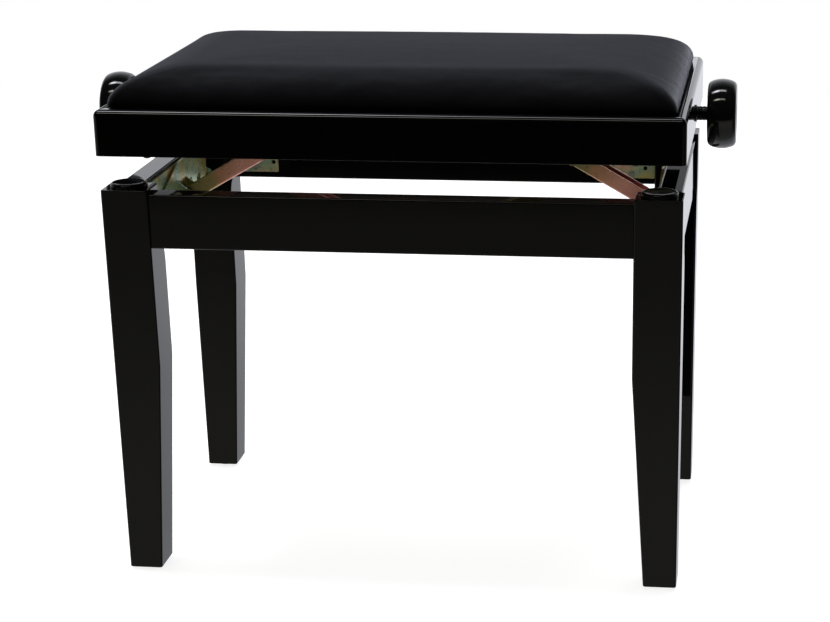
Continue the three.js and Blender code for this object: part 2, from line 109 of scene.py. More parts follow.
def ramp(nodes, links, value, stops):
    """A colour ramp with stops of place and colour."""
    node = nodes.new("ShaderNodeValToRGB")
    elements = node.color_ramp.elements
    while len(elements) < len(stops):
        elements.new(0.5)
    for element, (place, colour) in zip(elements, stops):
        element.position = place
        element.color = (*colour, 1)
    links.new(value, node.inputs["Fac"])
    return node.outputs["Color"]


def map_range(nodes, links, value, start, end, low=0.0, high=1.0, smooth=False):
    """Maps the range start to end on to the range low to high."""
    node = nodes.new("ShaderNodeMapRange")
    if smooth:
        node.interpolation_type = "SMOOTHSTEP"
    node.inputs["From Min"].default_value = start
    node.inputs["From Max"].default_value = end
    node.inputs["To Min"].default_value = low
    node.inputs["To Max"].default_value = high
    links.new(value, node.inputs["Value"])
    return node.outputs["Result"]


def spread(nodes, links, value, low, high):
    """Maps noise, which lies round the middle of 0 to 1, to the range low to high."""
    return map_range(nodes, links, value, 0.3, 0.7, low, high)


def axis_of(nodes, links, coords, axis):
    node = nodes.new("ShaderNodeSeparateXYZ")
    links.new(coords, node.inputs["Vector"])
    return node.outputs[axis]


def float_mix(nodes, links, factor, first, second):
    node = nodes.new("ShaderNodeMix")
    node.data_type = "FLOAT"
    node.inputs["Factor"].default_value = factor
    links.new(first, node.inputs["A"])
    links.new(second, node.inputs["B"])
    return node.outputs["Result"]


def bump(nodes, links, shader, height, distance, strength=1.0):
    node = nodes.new("ShaderNodeBump")
    node.inputs["Strength"].default_value = strength
    node.inputs["Distance"].default_value = distance
    links.new(height, node.inputs["Height"])
    links.new(node.outputs["Normal"], shader.inputs["Normal"])


def lacquer_material():
    """Black polyester lacquer: mirror gloss with a faint long-wave ripple."""
    material, nodes, links, shader, coords = new_material("black_lacquer")
    tone = noise(nodes, links, coords, 9, 2)
    links.new(ramp(nodes, links, tone, [(0.3, (0.0010, 0.0010, 0.0011)), (0.7, (0.0015, 0.0015, 0.0016))]),
              shader.inputs["Base Color"])
    haze = noise(nodes, links, coords, 35, 4, 0.6)
    links.new(spread(nodes, links, haze, 0.018, 0.042), shader.inputs["Roughness"])
    shader.inputs["IOR"].default_value = 1.5
    shader.inputs["Specular IOR Level"].default_value = 0.28
    ripple = noise(nodes, links, coords, 26, 1)
    bump(nodes, links, shader, ripple, 0.00003)
    return material


# The pile lies smooth above flat_above and is rubbed more the lower it is, down to rubbed_below.
VELOUR = {"flat_above": 498 * MM, "rubbed_below": 486 * MM, "flat": 2.0, "rubbed": 8.0, "relief": 0.25 * MM}


def velour_material():
    """Short-pile black velour: dark straight on, paler at a grazing angle."""
    material, nodes, links, shader, coords = new_material("velour")
    patches = noise(nodes, links, coords, 20, 3, 0.55)
    pile = noise(nodes, links, coords, 1500, 2, 0.7)
    tone = float_mix(nodes, links, 0.3, patches, pile)
    links.new(ramp(nodes, links, tone, [(0.35, (0.0016, 0.0016, 0.0018)), (0.65, (0.0036, 0.0036, 0.0041))]),
              shader.inputs["Base Color"])
    shader.inputs["Roughness"].default_value = 0.95
    shader.inputs["Specular IOR Level"].default_value = 0.03
    shader.inputs["Sheen Weight"].default_value = 0.42
    shader.inputs["Sheen Roughness"].default_value = 0.34
    shader.inputs["Sheen Tint"].default_value = (0.80, 0.82, 0.95, 1)
    lay = noise(nodes, links, coords, 36, 1.5, 0.45)
    rubbed = map_range(nodes, links, axis_of(nodes, links, coords, "Z"), VELOUR["flat_above"],
                       VELOUR["rubbed_below"], VELOUR["flat"], VELOUR["rubbed"], smooth=True)
    relief = nodes.new("ShaderNodeMath")
    relief.operation = "MULTIPLY_ADD"
    for socket, value in zip(relief.inputs, (lay, rubbed, pile)):
        links.new(value, socket)
    bump(nodes, links, shader, relief.outputs["Value"], VELOUR["relief"])
    return material


# Thin-film colours of passivated zinc, along a ramp. The arms are coppery and the plates greenish.
COPPER = [(0.08, (0.34, 0.31, 0.13)), (0.32, (0.50, 0.40, 0.17)), (0.52, (0.76, 0.38, 0.24)),
          (0.78, (0.88, 0.42, 0.37)), (0.97, (0.82, 0.36, 0.31))]
GREEN = [(0.10, (0.44, 0.28, 0.09)), (0.34, (0.56, 0.50, 0.20)), (0.50, (0.34, 0.48, 0.34)),
         (0.66, (0.54, 0.56, 0.32)), (0.88, (0.76, 0.44, 0.32))]


def zinc_material(name, stops, offset, start=None, reach=0.1, level=1.0):
    """Yellow-passivated zinc on sheet steel: thin-film colours that drift in clouds, and with a start,
    also along X over the given reach. Level scales their brightness as painted light and shade."""
    material, nodes, links, shader, coords = new_material(name)
    clouds = noise(nodes, links, coords, 19, 2, 0.45, offset=offset)
    fine = noise(nodes, links, coords, 190, 3, 0.6)
    if start is None:
        drift = spread(nodes, links, clouds, 0.05, 0.95)
    else:
        along = map_range(nodes, links, axis_of(nodes, links, coords, "X"), start, start + reach)
        total = nodes.new("ShaderNodeMath")
        links.new(along, total.inputs[0])
        links.new(spread(nodes, links, clouds, -0.16, 0.16), total.inputs[1])
        drift = total.outputs["Value"]
    # Painted light and shade: level scales the film colours up on a lit part and down on a shaded one.
    film_stops_with_painted_light = [(place, tuple(level * part for part in colour)) for place, colour in stops]
    tone = float_mix(nodes, links, 0.10, drift, fine)
    links.new(ramp(nodes, links, tone, film_stops_with_painted_light), shader.inputs["Base Color"])
    shader.inputs["Metallic"].default_value = 0.82
    links.new(spread(nodes, links, fine, 0.24, 0.38), shader.inputs["Roughness"])
    grain = noise(nodes, links, coords, 900, 2, 0.6)
    bump(nodes, links, shader, grain, 0.00004)
    return material


def steel_material():
    """Bright zinc-plated steel, with streaks along X."""
    material, nodes, links, shader, coords = new_material("bright_steel")
    streaks = noise(nodes, links, coords, 320, 3, 0.6, stretch=(0.15, 1, 1))
    links.new(ramp(nodes, links, streaks, [(0.35, (0.42, 0.42, 0.41)), (0.65, (0.62, 0.62, 0.60))]),
              shader.inputs["Base Color"])
    shader.inputs["Metallic"].default_value = 1.0
    links.new(spread(nodes, links, streaks, 0.22, 0.38), shader.inputs["Roughness"])
    bump(nodes, links, shader, streaks, 0.00003)
    return material


def plastic_material(name, dark, pale, gloss, level, grain_scale, grain_depth):
    """Plastic or rubber: two tones, a roughness about gloss, a specular level and a fine grain."""
    material, nodes, links, shader, coords = new_material(name)
    tone = noise(nodes, links, coords, 60, 3)
    links.new(ramp(nodes, links, tone, [(0.3, dark), (0.7, pale)]), shader.inputs["Base Color"])
    links.new(spread(nodes, links, tone, gloss * 0.8, gloss * 1.25), shader.inputs["Roughness"])
    shader.inputs["Specular IOR Level"].default_value = level
    grain = noise(nodes, links, coords, grain_scale, 2)
    bump(nodes, links, shader, grain, grain_depth)
    return material


def plywood_material():
    """Very dark plywood, matt, with its grain along X."""
    material, nodes, links, shader, coords = new_material("plywood")
    grain = noise(nodes, links, coords, 45, 6, 0.6, stretch=(0.12, 1, 1))
    links.new(ramp(nodes, links, grain, [(0.3, (0.020, 0.015, 0.011)), (0.7, (0.045, 0.034, 0.024))]),
              shader.inputs["Base Color"])
    links.new(spread(nodes, links, grain, 0.55, 0.75), shader.inputs["Roughness"])
    bump(nodes, links, shader, grain, 0.0002)
    return material


lacquer = lacquer_material()
velour = velour_material()
# Painted light and shade: the left arm's colours are painted lighter (1.10) and the right arm's darker
# (0.92), for how light falls on each arm.
zinc_copper = {
    "left": zinc_material("yellow_zinc_left_arm", COPPER, (0.11, 0.02, 0.05), -0.234, 0.060, 1.10),
    "right": zinc_material("yellow_zinc_right_arm", COPPER, (0.27, 0.02, 0.05), 0.140, 0.080, 0.92)}
zinc_green = zinc_material("yellow_zinc_green", GREEN, (0.43, 0.0, 0.21))
steel = steel_material()
gloss_black = plastic_material("gloss_black", (0.0025, 0.0025, 0.0026), (0.004, 0.004, 0.004),
                               0.07, 0.4, 30, 0.00004)
dark_plastic = plastic_material("dark_plastic", (0.002, 0.002, 0.002), (0.0035, 0.0035, 0.0036),
                                0.14, 0.12, 900, 0.00001)
grey_rubber = plastic_material("grey_rubber", (0.035, 0.036, 0.038), (0.055, 0.056, 0.06),
                               0.5, 0.4, 700, 0.00005)
plywood = plywood_material()


# ---------------------------------------------------------------- mesh helpers
def add_object(name, verts, faces, material, smooth_angle=35, weighted=True):
    """A new object from corners and faces, shaded smooth up to the given angle."""
    mesh = bpy.data.meshes.new(name)
    mesh.from_pydata([tuple(v) for v in verts], [], faces)
    mesh.validate()
    return finish_object(name, mesh, material, smooth_angle, weighted)


def finish_object(name, mesh, material, smooth_angle=35, weighted=True):
    """Faces outwards, smooth shading with sharp edges kept, and the material."""
    obj = bpy.data.objects.new(name, mesh)
    bpy.context.scene.collection.objects.link(obj)
    mesh.materials.clear()
    mesh.materials.append(material)
    shell = bmesh.new()
    shell.from_mesh(mesh)
    bmesh.ops.recalc_face_normals(shell, faces=shell.faces)
    limit = math.radians(smooth_angle)
    for face in shell.faces:
        face.smooth = True
    for edge in shell.edges:
        edge.smooth = len(edge.link_faces) == 2 and edge.calc_face_angle(0) < limit
    shell.to_mesh(mesh)
    shell.free()
    if weighted:
        modifier = obj.modifiers.new("weighted_normals", "WEIGHTED_NORMAL")
        modifier.keep_sharp = True
        modifier.weight = 100
    return obj


def add_bevel(obj, width):
    """Rounds the edges of a piece, before its other modifiers."""
    modifier = obj.modifiers.new("bevel", "BEVEL")
    modifier.width = width
    modifier.segments = 2
    modifier.limit_method = "ANGLE"
    modifier.angle_limit = math.radians(30)
    modifier.harden_normals = False
    modifier.use_clamp_overlap = True
    obj.modifiers.move(len(obj.modifiers) - 1, 0)


def rounded_rectangle(x0, x1, y0, y1, radius, steps):
    """Outline of a rectangle with rounded corners, anticlockwise from the corner at x1, y0."""
    points = []
    for cx, cy, start in ((x1 - radius, y0 + radius, -90), (x1 - radius, y1 - radius, 0),
                          (x0 + radius, y1 - radius, 90), (x0 + radius, y0 + radius, 180)):
        for i in range(steps + 1):
            turn = math.radians(start + 90 * i / steps)
            points.append((cx + radius * math.cos(turn), cy + radius * math.sin(turn)))
    return points


def loft(rings):
    """Vertices and faces of a closed skin over rings of equal length."""
    count = len(rings[0])
    verts = [v for ring in rings for v in ring]
    faces = []
    for r in range(len(rings) - 1):
        for i in range(count):
            j = (i + 1) % count
            faces.append((r * count + i, r * count + j, (r + 1) * count + j, (r + 1) * count + i))
    faces.append(tuple(reversed(range(count))))
    faces.append(tuple((len(rings) - 1) * count + i for i in range(count)))
    return verts, faces


def lathe(profile, segments, place):
    """A closed solid of revolution. profile holds (radius, height) pairs, and starts and ends on the
    axis or closes on itself; place turns (radius cosine, radius sine, height) into a point."""
    closed = profile[0][0] > WELD
    verts, faces, rows = [], [], []
    for radius, height in profile:
        if radius < WELD:
            rows.append([len(verts)] * segments)
            verts.append(place(0, 0, height))
        else:
            rows.append([len(verts) + i for i in range(segments)])
            for i in range(segments):
                turn = 2 * math.pi * i / segments
                verts.append(place(radius * math.cos(turn), radius * math.sin(turn), height))
    pairs = list(zip(rows, rows[1:])) + ([(rows[-1], rows[0])] if closed else [])
    for low, high in pairs:
        for i in range(segments):
            j = (i + 1) % segments
            face = [low[i], low[j], high[j], high[i]]
            face = [v for k, v in enumerate(face) if v not in face[:k]]
            if len(face) > 2:
                faces.append(face)
    return verts, faces


def arc(cx, cy, radius, start, end, steps):
    """Points along an arc, with its angles in degrees."""
    return [(cx + radius * math.cos(math.radians(start + (end - start) * i / steps)),
             cy + radius * math.sin(math.radians(start + (end - start) * i / steps)))
            for i in range(steps + 1)]


def attach(obj, body, slot, *nodes):
    """Puts a piece on its body, in place of the CAD nodes it stands for. Its slot is not used."""
    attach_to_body(obj, body)
    if nodes:
        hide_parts(*nodes)
    return obj


# ---------------------------------------------------------------- legs and aprons
LEG = {"top_width": 45.5 * MM, "top_depth": 45 * MM, "apron_depth": 36 * MM, "foot_width": 32.5 * MM,
       "foot_depth": 38 * MM, "taper": 215 * MM, "shoulder_low": 307 * MM, "shoulder_high": 330 * MM,
       "shoulder_steps": 12, "lean": 3 * MM, "edge": 2.2 * MM, "edge_steps": 5, "ease": 1.2 * MM}
EASE_TURNS = (0, 30, 60, 90)


def eased(ease, turn):
    """How far an eased end draws in and stops short, at one turn of its quarter circle."""
    return ease * (1 - math.cos(math.radians(turn))), ease * (1 - math.sin(math.radians(turn)))


def make_leg(corner, side_x, side_y):
    """A leg whose outer faces lean in a little towards the foot. Its inner faces taper more, below a
    rounded shoulder where the leg is deeper than its aprons allow above."""
    low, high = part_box(f"{corner}_leg")
    out_x = max(abs(low[0]), abs(high[0]))
    out_y = max(abs(low[1]), abs(high[1]))
    floor_z, top_z = low[2], high[2]
    lean, ease = LEG["lean"], LEG["ease"]
    rings = []

    def ring(z, inset_x, width, inset_y, depth):
        xs = sorted((side_x * (out_x - inset_x), side_x * (out_x - inset_x - width)))
        ys = sorted((side_y * (out_y - inset_y), side_y * (out_y - inset_y - depth)))
        rings.append([(x, y, z) for x, y in rounded_rectangle(*xs, *ys, LEG["edge"], LEG["edge_steps"])])

    def straight(z, depth, cut=0.0):
        inset = lean * (1 - z / top_z) + cut
        ring(z, inset, LEG["top_width"] - 2 * cut, inset, depth - 2 * cut)

    for turn in reversed(EASE_TURNS):
        cut, rise = eased(ease, turn)
        ring(floor_z + rise, lean + cut, LEG["foot_width"] - 2 * cut, lean + cut, LEG["foot_depth"] - 2 * cut)
    straight(LEG["taper"], LEG["top_depth"])
    straight(LEG["shoulder_low"], LEG["top_depth"])
    for i in range(1, LEG["shoulder_steps"] + 1):
        turn = math.pi / 2 * i / LEG["shoulder_steps"]
        z = LEG["shoulder_low"] + (LEG["shoulder_high"] - LEG["shoulder_low"]) * math.sin(turn)
        straight(z, LEG["apron_depth"] + (LEG["top_depth"] - LEG["apron_depth"]) * math.cos(turn))
    for turn in EASE_TURNS:
        cut, rise = eased(ease, turn)
        straight(top_z - rise, LEG["apron_depth"], cut)
    verts, faces = loft(rings)
    leg = add_object(f"{corner}_leg_lacquered", verts, faces, lacquer)
    attach(leg, "leg_frame", "black_lacquer", f"{corner}_leg")


APRON = {"reach": 0.3 * MM, "edge": 1.6 * MM, "edge_steps": 6}


def make_apron(node, along):
    """A rail with rounded long edges; along is 0 for a rail that runs in X and 1 for one in Y."""
    low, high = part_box(node)
    across = 1 - along
    rings = []
    section = rounded_rectangle(low[across], high[across], low[2], high[2],
                                APRON["edge"], APRON["edge_steps"])
    for end in (low[along] - APRON["reach"], high[along] + APRON["reach"]):
        ring = []
        for a, z in section:
            point = [0, 0, z]
            point[along], point[across] = end, a
            ring.append(tuple(point))
        rings.append(ring)
    verts, faces = loft(rings)
    apron = add_object(f"{node}_lacquered", verts, faces, lacquer)
    attach(apron, "leg_frame", "black_lacquer", node)


# The dish of a pad, from its rim inwards: share of the pad's radius, and share of the dish's depth.
PAD = {"rim": 2.6 * MM, "rim_turn": (8, 105), "rim_steps": 9, "around": 64, "dish": 1.1 * MM,
       "dish_steps": ((0.66, 0.62), (0.45, 0.9), (0, 1))}


def make_leg_pad(corner):
    """Low glossy button: a rounded rim, and a wide shallow dish within it."""
    low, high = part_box(f"{corner}_leg_pad")
    cx, cy = (low[0] + high[0]) / 2, (low[1] + high[1]) / 2
    radius, bottom, top = (high[0] - low[0]) / 2, low[2], high[2]
    rim = PAD["rim"]
    profile = [(0, bottom), (radius, bottom), (radius, top - rim)]
    profile += arc(radius - rim, top - rim, rim, *PAD["rim_turn"], PAD["rim_steps"])
    profile += [(radius * across, top - PAD["dish"] * depth) for across, depth in PAD["dish_steps"]]
    verts, faces = lathe(profile, PAD["around"], lambda x, y, z: (cx + x, cy + y, z))
    pad = add_object(f"{corner}_leg_pad_dished", verts, faces, dark_plastic, smooth_angle=60)
    attach(pad, "leg_frame", "dark_plastic", f"{corner}_leg_pad")


GLIDE = {"ease": 0.6 * MM, "ease_steps": 4, "around": 40}


def make_glide(corner):
    """Thin round glide, eased where it meets the floor."""
    low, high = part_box(f"{corner}_foot_glide")
    cx, cy = (low[0] + high[0]) / 2, (low[1] + high[1]) / 2
    radius, ease = (high[0] - low[0]) / 2, GLIDE["ease"]
    profile = [(0, low[2])] + arc(radius - ease, low[2] + ease, ease, -90, 0, GLIDE["ease_steps"])
    profile += [(radius, high[2] + BEDDED), (0, high[2] + BEDDED)]
    verts, faces = lathe(profile, GLIDE["around"], lambda x, y, z: (cx + x, cy + y, z))
    glide = add_object(f"{corner}_foot_glide_round", verts, faces, dark_plastic)
    attach(glide, "leg_frame", "dark_plastic", f"{corner}_foot_glide")


for corner, (side_x, side_y) in CORNERS.items():
    make_leg(corner, side_x, side_y)
    make_leg_pad(corner)
    make_glide(corner)
for node, along in (("front_apron", 0), ("rear_apron", 0), ("left_apron", 1), ("right_apron", 1)):
    make_apron(node, along)


# ---------------------------------------------------------------- seat frame
BOARD = {"thick": 22 * MM, "edge": 0.4 * MM, "edge_steps": 6, "top_round": 6.7 * MM, "top_steps": 12,
         "corner_round": 5 * MM, "corner_steps": 8}


def make_boards():
    """One moulded section swept round the seat, cut into four boards at the mitres."""
    half_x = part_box("right_board")[1][0]
    half_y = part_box("rear_board")[1][1]
    bottom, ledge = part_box("front_board")[0][2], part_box("front_board")[1][2]
    edge, top, corner_round = BOARD["edge"], BOARD["top_round"], BOARD["corner_round"]
    section = arc(edge, bottom + edge, edge, 270, 180, BOARD["edge_steps"])
    section += arc(top, ledge - top, top, 180, 90, BOARD["top_steps"])
    section += [(BOARD["thick"], ledge), (BOARD["thick"], bottom)]
    steps = BOARD["corner_steps"]
    corners = [(1, 1, 0), (-1, 1, 90), (-1, -1, 180), (1, -1, 270)]
    stations = []
    for sx, sy, start in corners:
        for i in range(2 * steps + 1):
            stations.append((sx, sy, math.radians(start + 90 * i / (2 * steps))))

    def point(sx, sy, turn, inset, z):
        """A corner of the section: it runs round the corner on the outside and past it further in."""
        centre_x, centre_y = sx * (half_x - corner_round), sy * (half_y - corner_round)
        if inset <= corner_round:
            radius = corner_round - inset
            return (centre_x + radius * math.cos(turn), centre_y + radius * math.sin(turn), z)
        past = inset - corner_round
        return (centre_x - sx * past, centre_y - sy * past, z)

    names = ["rear_board", "left_board", "front_board", "right_board"]
    per_corner = 2 * steps + 1
    total = len(stations)
    for k, node in enumerate(names):
        first = k * per_corner + steps
        members = [stations[(first + i) % total] for i in range(per_corner + 1)]
        rings = [[point(*station, inset, z) for inset, z in section] for station in members]
        verts, faces = loft(rings)
        board = add_object(f"{node}_lacquered", verts, faces, lacquer)
        shell = bmesh.new()
        shell.from_mesh(board.data)
        bmesh.ops.remove_doubles(shell, verts=shell.verts, dist=WELD)
        shell.to_mesh(board.data)
        shell.free()
        attach(board, "seat", "black_lacquer", node)


make_boards()


# ---------------------------------------------------------------- cushion
# The rim's section is a superellipse of the given power. Corners grow with the inset from the outside.
# The seams between its steps run inwards to the middle share of the half depth.
CUSHION = {"round_across": 66 * MM, "power": 2.15, "crown": 2.5 * MM, "corner": 9 * MM, "corner_grow": 0.12,
           "tuck": 1.5 * MM, "hem": 1.5 * MM, "middle": 0.96, "rim_steps": 14, "corner_steps": 8,
           "long_steps": 30, "short_steps": 16, "fill_steps": 9}
# The simulated cover: what is held, how it is stepped, how stiff it is, and how its moves are carried.
COVER = {"held": 5 * MM, "voxel": 10 * MM, "frames": 14, "quality": 5, "mass": 0.3, "stretch": 30,
         "shear": 20, "bend": 6, "pressure": 2.0, "nearest": 12, "near": 3 * MM, "cap": 1.6 * MM}


def simulated_cover(cushion, held_below):
    """Cloth simulation on an even copy of the cover: the padding pushes it out, the hem is held down.
    Returns pairs of a starting place and how far it moved."""
    scene = bpy.context.scene
    even = bpy.data.objects.new("even_cover", cushion.data.copy())
    scene.collection.objects.link(even)
    remesh = even.modifiers.new("even", "REMESH")
    remesh.mode = "VOXEL"
    remesh.voxel_size = COVER["voxel"]
    mesh = bpy.data.meshes.new_from_object(even.evaluated_get(bpy.context.evaluated_depsgraph_get()))
    even.modifiers.clear()
    even.data = mesh
    start = [vertex.co.copy() for vertex in mesh.vertices]
    held = even.vertex_groups.new(name="hem")
    held.add([vertex.index for vertex in mesh.vertices if vertex.co.z < held_below], 1.0, "REPLACE")
    cloth = even.modifiers.new("cover", "CLOTH")
    settings = cloth.settings
    settings.quality = COVER["quality"]
    settings.mass = COVER["mass"]
    settings.tension_stiffness = settings.compression_stiffness = COVER["stretch"]
    settings.shear_stiffness = COVER["shear"]
    settings.bending_stiffness = COVER["bend"]
    settings.vertex_group_mass = held.name
    settings.use_pressure = True
    settings.uniform_pressure_force = COVER["pressure"]
    settings.effector_weights.gravity = 0
    cloth.point_cache.frame_start, cloth.point_cache.frame_end = 1, COVER["frames"]
    for step in range(1, COVER["frames"] + 1):
        scene.frame_set(step)
    settled = even.evaluated_get(bpy.context.evaluated_depsgraph_get()).data
    moves = [(place, settled.vertices[i].co - place) for i, place in enumerate(start)]
    bpy.data.objects.remove(even)
    scene.frame_set(1)
    return moves


def settle_cover(cushion, held_below):
    """Carries the simulated swell over to the cushion's own mesh, capped and evened out."""
    moves = simulated_cover(cushion, held_below)
    tree = kdtree.KDTree(len(moves))
    for i, (place, move) in enumerate(moves):
        tree.insert(place, i)
    tree.balance()
    for vertex in cushion.data.vertices:
        if vertex.co.z < held_below:
            continue
        total, weight_sum = Vector(), 0.0
        for place, i, distance in tree.find_n(vertex.co, COVER["nearest"]):
            weight = 1 / (distance + COVER["near"]) ** 2
            total += moves[i][1] * weight
            weight_sum += weight
        move = total / weight_sum
        if move.length > COVER["cap"]:
            move = move.normalized() * COVER["cap"]
        vertex.co += move


def make_cushion():
    """A padded seat: a hem tucked in, a rim that rounds over, and a slightly crowned top."""
    low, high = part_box("seat_cushion")
    half_x, half_y = (high[0] - low[0]) / 2, (high[1] - low[1]) / 2
    base = low[2] - BEDDED
    height = high[2] - base - CUSHION["crown"]
    corner_steps, long_steps, short_steps = (CUSHION[f"{part}_steps"] for part in ("corner", "long", "short"))

    def outline(inset):
        """Rounded rectangle at an inset from the outside, always with the same number of points."""
        hx, hy = half_x - inset, half_y - inset
        radius = min(CUSHION["corner"] + inset * CUSHION["corner_grow"], hy * 0.9)
        bends = []
        for sx, sy, start in ((1, -1, -90), (1, 1, 0), (-1, 1, 90), (-1, -1, 180)):
            bends.append(arc(sx * (hx - radius), sy * (hy - radius), radius, start, start + 90, corner_steps))
        ring = []
        for k, bend in enumerate(bends):
            ring += bend
            (x0, y0), (x1, y1) = bend[-1], bends[(k + 1) % 4][0]
            count = long_steps if k % 2 else short_steps
            for i in range(1, count):
                t = i / count
                ring.append((x0 * (1 - t) + x1 * t, y0 * (1 - t) + y1 * t))
        return ring

    rings = [[(x, y, base) for x, y in outline(CUSHION["tuck"])]]
    bend_share = 2 / CUSHION["power"]
    for i in range(CUSHION["rim_steps"] + 1):
        turn = math.pi / 2 * i / CUSHION["rim_steps"]
        inset = CUSHION["round_across"] * (1 - math.cos(turn) ** bend_share)
        z = base + CUSHION["hem"] + (height - CUSHION["hem"]) * math.sin(turn) ** bend_share
        rings.append([(x, y, z) for x, y in outline(inset)])
    left = half_y - CUSHION["round_across"]
    for i in range(1, CUSHION["fill_steps"]):
        t = i / CUSHION["fill_steps"]
        z = base + height + CUSHION["crown"] * math.sin(math.pi / 2 * t)
        rings.append([(x, y, z) for x, y in outline(CUSHION["round_across"] + left * t * CUSHION["middle"])])
    verts, faces = loft(rings)
    cushion = add_object("seat_cushion_velour", verts, faces, velour, smooth_angle=80, weighted=False)
    settle_cover(cushion, base + COVER["held"])
    attach(cushion, "seat", "velour", "seat_cushion")


make_cushion()


# ---------------------------------------------------------------- spindle, knobs and washers
# Height of the spindle's axis.
SPINDLE_Z = (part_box("spindle_rod")[0][2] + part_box("spindle_rod")[1][2]) / 2


def along_x(side):
    """Places a turned profile on the spindle's axis, with its height outwards on one side."""
    return lambda a, b, h: (side * h, a, SPINDLE_Z + b)


# A knob's crown is how far the barrel of its rim stands above the two ends of the barrel. Its dish is
# given from the outside in: radius, and depth below the outer face.
KNOB = {"rim": 5.5 * MM, "rim_turn": 15, "rim_steps": 8, "crown": 1.8 * MM, "hub": 11 * MM,
        "hub_in": 0.2 * MM, "barrel_steps": 10, "barrel_in": 0.75, "around": 112,
        "dish": ((18 * MM, 0.1 * MM), (15 * MM, 0.9 * MM), (0, 1.3 * MM))}


def make_knob(name, side):
    """A turned knob: a flat hub face inside, a barrel rim and a shallow dish outside."""
    low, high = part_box(f"{name}_knob")
    inner, outer = sorted((abs(low[0]), abs(high[0])))
    radius = (high[2] - low[2]) / 2
    width = outer - inner
    rim, crown, steps = KNOB["rim"], KNOB["crown"], KNOB["barrel_steps"]
    profile = [(0, inner + KNOB["hub_in"]), (KNOB["hub"], inner + KNOB["hub_in"])]
    profile += arc(radius - crown - rim, inner + rim, rim, -90, -KNOB["rim_turn"], KNOB["rim_steps"])
    half_barrel = width / 2 - rim * KNOB["barrel_in"]
    for i in range(steps + 1):
        t = -1 + 2 * i / steps
        profile.append((radius - crown * t * t, inner + width / 2 + t * half_barrel))
    profile += arc(radius - crown - rim, outer - rim, rim, KNOB["rim_turn"], 90, KNOB["rim_steps"])
    profile += [(across, outer - depth) for across, depth in KNOB["dish"]]
    verts, faces = lathe(profile, KNOB["around"], along_x(side))
    knob = add_object(f"{name}_knob_turned", verts, faces, gloss_black)
    attach(knob, "spindle", "gloss_black", f"{name}_knob")


# A groove of the sleeve: place along its half pitch, and share of its depth.
SLEEVE = {"bore": 6.1 * MM, "grooves": 3, "first": 0.6, "depth": 0.35 * MM, "around": 64,
          "groove": ((0, 0), (0.3, 1), (0.8, 1), (1.1, 0))}


def make_sleeve(name, side):
    """The round sleeve between knob and board, with shallow grooves."""
    low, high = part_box(f"{name}_spindle_sleeve")
    inner, outer = sorted((abs(low[0]), abs(high[0])))
    radius, bore = (high[2] - low[2]) / 2, SLEEVE["bore"]
    profile = [(bore, inner), (radius, inner)]
    half_pitch = (outer - inner) / (SLEEVE["grooves"] * 2)
    for i in range(SLEEVE["grooves"]):
        start = inner + half_pitch * (2 * i + SLEEVE["first"])
        profile += [(radius - SLEEVE["depth"] * sunk, start + half_pitch * along)
                    for along, sunk in SLEEVE["groove"]]
    profile += [(radius, outer), (bore, outer)]
    verts, faces = lathe(profile, SLEEVE["around"], along_x(side))
    sleeve = add_object(f"{name}_sleeve_ribbed", verts, faces, dark_plastic)
    attach(sleeve, "spindle", "gloss_black", f"{name}_spindle_sleeve")


WASHER = {"smaller": 1.7 * MM, "bore": 6.5 * MM, "ease": 0.45 * MM, "ease_steps": 4, "around": 56}


def make_escutcheon(name, side):
    """The thin washer between sleeve and board, eased on its outer edge."""
    low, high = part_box(f"{name}_escutcheon")
    inner, outer = sorted((abs(low[0]), abs(high[0])))
    radius, bore, ease = (high[2] - low[2]) / 2 - WASHER["smaller"], WASHER["bore"], WASHER["ease"]
    profile = [(bore, inner - BEDDED), (radius, inner - BEDDED)]
    profile += arc(radius - ease, outer - ease, ease, 0, 90, WASHER["ease_steps"])
    profile += [(bore + ease, outer), (bore, outer - ease)]
    verts, faces = lathe(profile, WASHER["around"], along_x(side))
    ring = add_object(f"{name}_escutcheon_washer", verts, faces, dark_plastic)
    attach(ring, "seat", "dark_plastic", f"{name}_escutcheon")


# The thread's crest and root are flat: root sets how wide the root is, and flank how steep its sides.
THREAD = {"pitch": 4 * MM, "depth": 0.9 * MM, "start": 42 * MM, "stop": 168 * MM, "flank": 8.0, "root": 3.0,
          "around": 28, "steps": 8, "end_ease": 0.8 * MM}


def make_spindle():
    """Round bar with a trapezoidal thread on each half, of opposite hand, and plain ends."""
    low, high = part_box("spindle_rod")
    end, radius = high[0], (high[2] - low[2]) / 2
    around, ease = THREAD["around"], THREAD["end_ease"]

    def thread_radius(x, turn):
        reach = min(abs(x) - THREAD["start"], THREAD["stop"] - abs(x))
        if reach <= 0:
            return radius
        phase = (abs(x) / THREAD["pitch"] + turn / (2 * math.pi)) % 1.0
        wave = min(1.0, max(0.0, THREAD["root"] - abs(phase - 0.5) * THREAD["flank"]))
        return radius - THREAD["depth"] * wave * min(1.0, reach / THREAD["pitch"])

    stations = [(-end, radius - ease), (-end + ease, radius)]
    step = THREAD["pitch"] / THREAD["steps"]
    inner = [THREAD["start"] + step * i for i in range(int((THREAD["stop"] - THREAD["start"]) / step) + 1)]
    stations += [(x, None) for x in [-x for x in reversed(inner)] + inner]
    stations += [(end - ease, radius), (end, radius - ease)]
    rings = []
    for x, fixed in stations:
        ring = []
        for i in range(around):
            turn = 2 * math.pi * i / around
            r = fixed if fixed is not None else thread_radius(x, turn)
            ring.append((x, r * math.cos(turn), SPINDLE_Z + r * math.sin(turn)))
        rings.append(ring)
    verts, faces = loft(rings)
    spindle = add_object("spindle_threaded", verts, faces, steel, smooth_angle=60, weighted=False)
    attach(spindle, "spindle", "bright_steel", "spindle_rod")


make_spindle()
for name, side in SIDES.items():
    make_knob(name, side)
    make_sleeve(name, side)
    make_escutcheon(name, side)


# ---------------------------------------------------------------- carried-over CAD nodes
def body_of_node(node):
    for body, members in frame["record"]["behaviour"]["bodies"].items():
        if node in members:
            return body
    raise KeyError(node)


